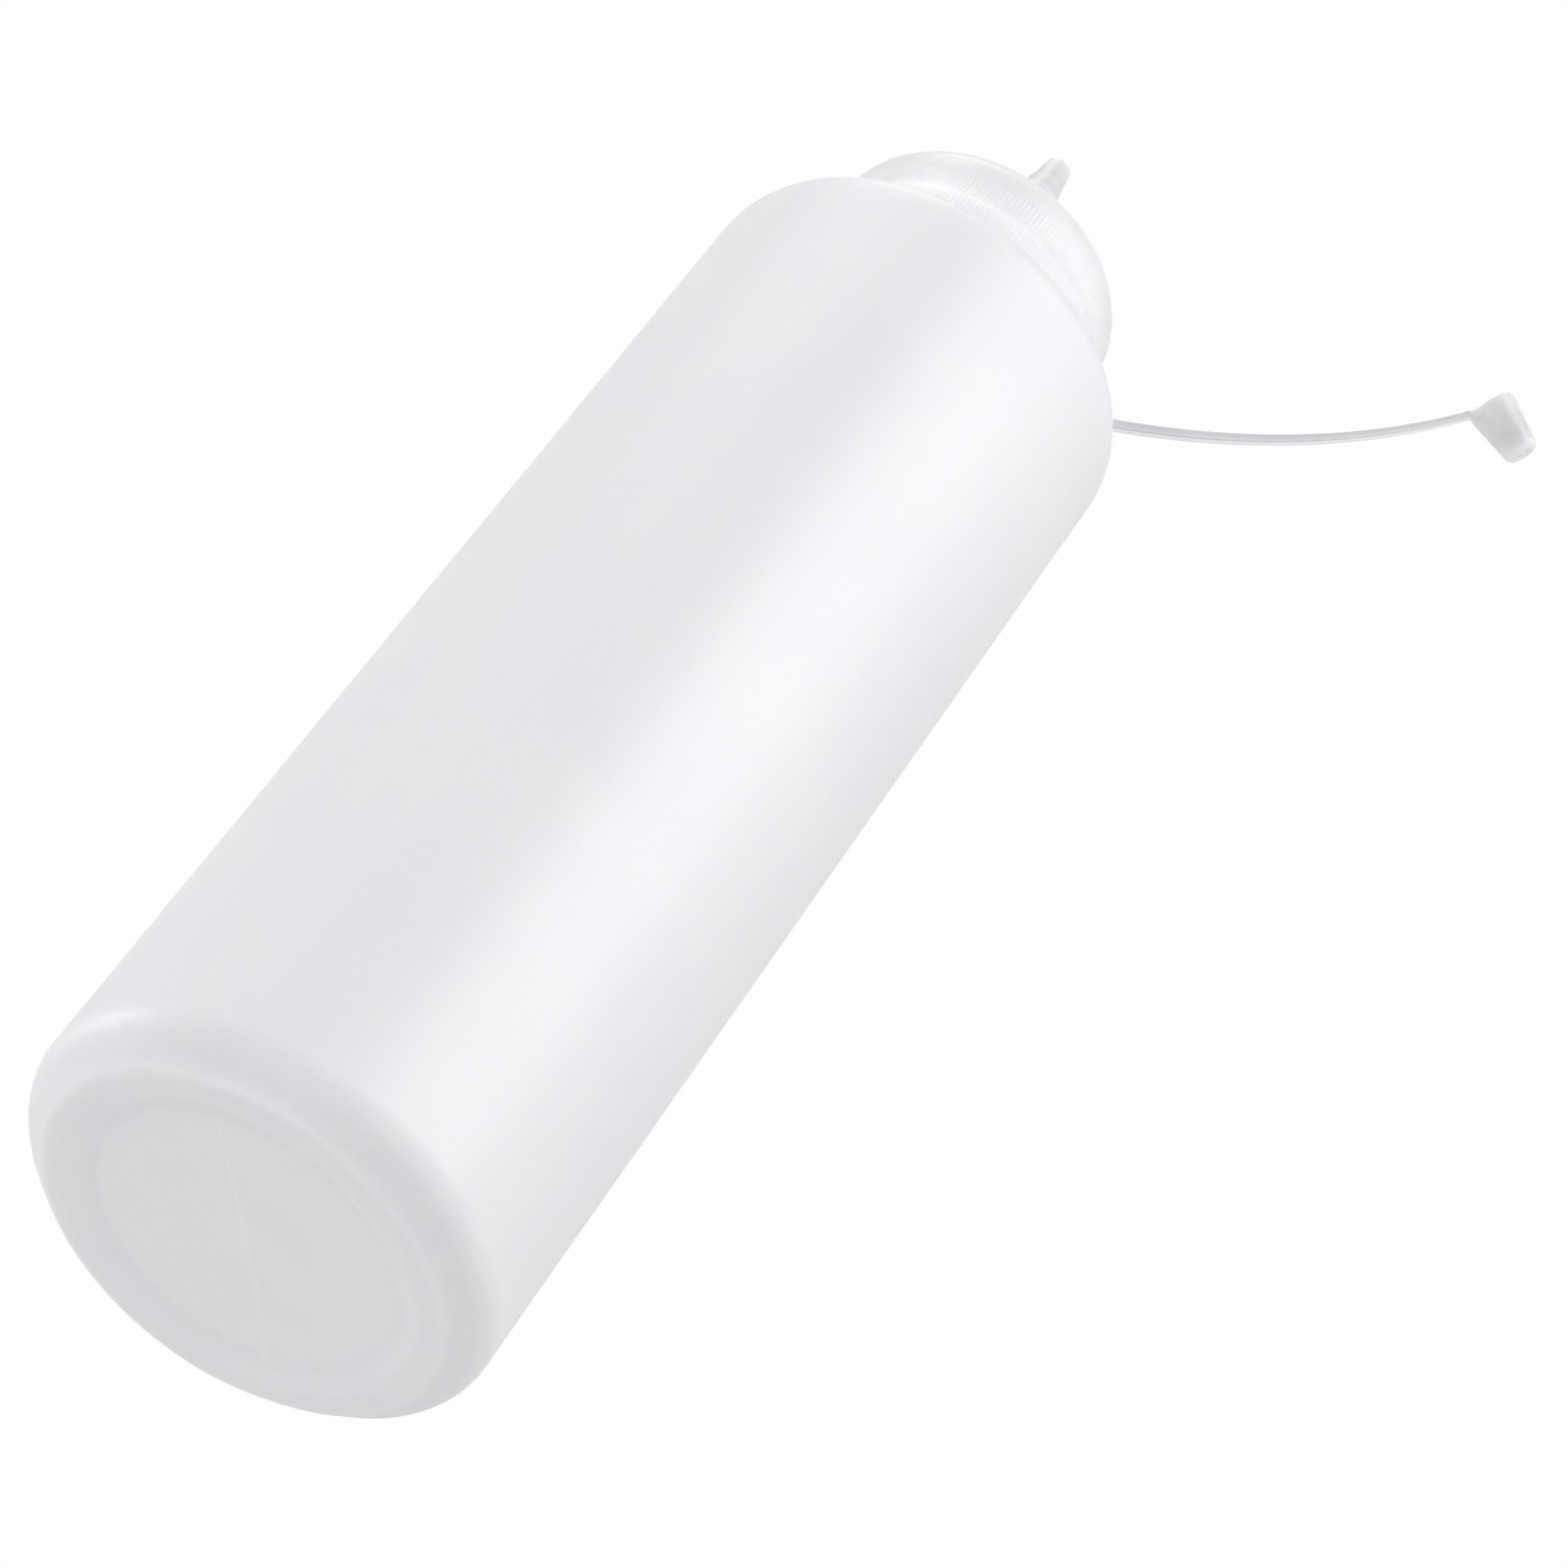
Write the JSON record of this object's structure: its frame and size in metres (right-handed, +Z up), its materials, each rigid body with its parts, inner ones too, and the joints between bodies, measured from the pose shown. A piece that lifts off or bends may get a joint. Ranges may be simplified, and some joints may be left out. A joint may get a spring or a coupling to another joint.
{
  "type": "squeeze bottle",
  "caption": "Slim cylindrical squeeze bottle for sauce with a ribbed screw cap, a stepped pouring nozzle and a small cone cap on a flexible tether.",
  "frame": {"origin": "centre of the base, on the plane that the bottle stands on", "axes": "+Z up along the bottle's axis, +X towards the tether's root on the screw cap"},
  "size_m": [0.0881, 0.05, 0.1966],
  "materials": {
    "body_plastic": "satin, slightly translucent white polyethylene",
    "cap_plastic": "satin white polyethylene",
    "seal_plastic": "matt, soft foam liner"
  },
  "bodies": {
    "bottle": {"bottle": "body_plastic"},
    "seal_ring": {"seal_ring": "seal_plastic"},
    "screw_cap": {"screw_cap": "cap_plastic"},
    "tether_1": {"tether_link_1": "cap_plastic"},
    "tether_2": {"tether_link_2": "cap_plastic"},
    "tether_3": {"tether_link_3": "cap_plastic"},
    "tether_4": {"tether_link_4": "cap_plastic"},
    "tether_5": {"tether_link_5": "cap_plastic"},
    "tether_6": {"tether_link_6": "cap_plastic"},
    "tether_7": {"tether_link_7": "cap_plastic"},
    "tip_cap": {"tip_cap": "cap_plastic"}
  },
  "joints": [
    {"name": "cap_lift", "type": "slide", "parent": "bottle", "child": "seal_ring", "axis": [0, 0, 1], "range_m": [0, 0.0116]},
    {"name": "cap_turn", "type": "hinge", "parent": "seal_ring", "child": "screw_cap", "pos_m": [0, 0, 0.15817], "axis": [0, 0, 1], "range_deg": [0, 990]},
    {"name": "tether_bend_1", "type": "hinge", "parent": "screw_cap", "child": "tether_1", "pos_m": [0.01961, 0, 0.15333], "axis": [0, -1, 0], "range_deg": [0, 29.3], "stiffness_Nm_per_rad": 0.0065},
    {"name": "tether_bend_2", "type": "hinge", "parent": "tether_1", "child": "tether_2", "pos_m": [0.02549, 0, 0.15748], "axis": [0, -1, 0], "range_deg": [0, 6.71], "stiffness_Nm_per_rad": 0.0057},
    {"name": "tether_bend_3", "type": "hinge", "parent": "tether_2", "child": "tether_3", "pos_m": [0.0311, 0, 0.16199], "axis": [0, -1, 0], "range_deg": [0, 1.71], "stiffness_Nm_per_rad": 0.005},
    {"name": "tether_bend_4", "type": "hinge", "parent": "tether_3", "child": "tether_4", "pos_m": [0.0364, 0, 0.16686], "axis": [0, -1, 0], "range_deg": [0, 17.01], "stiffness_Nm_per_rad": 0.0043},
    {"name": "tether_bend_5", "type": "hinge", "parent": "tether_4", "child": "tether_5", "pos_m": [0.04137, 0, 0.17207], "axis": [0, -1, 0], "range_deg": [0, 38.01], "stiffness_Nm_per_rad": 0.0036},
    {"name": "tether_bend_6", "type": "hinge", "parent": "tether_5", "child": "tether_6", "pos_m": [0.046, 0, 0.17758], "axis": [0, -1, 0], "range_deg": [0, 38.73], "stiffness_Nm_per_rad": 0.0031},
    {"name": "tether_bend_7", "type": "hinge", "parent": "tether_6", "child": "tether_7", "pos_m": [0.05026, 0, 0.18339], "axis": [0, -1, 0], "range_deg": [0, 17.78], "stiffness_Nm_per_rad": 0.0026},
    {"name": "tether_bend_8", "type": "hinge", "parent": "tether_7", "child": "tip_cap", "pos_m": [0.05413, 0, 0.18946], "axis": [0, 1, 0], "range_deg": [0, 29.65], "stiffness_Nm_per_rad": 0.0022}
  ],
  "couplings": [
    {"joint": "cap_lift", "follows": "cap_turn", "m_per_rad": 0.00066845}
  ]
}
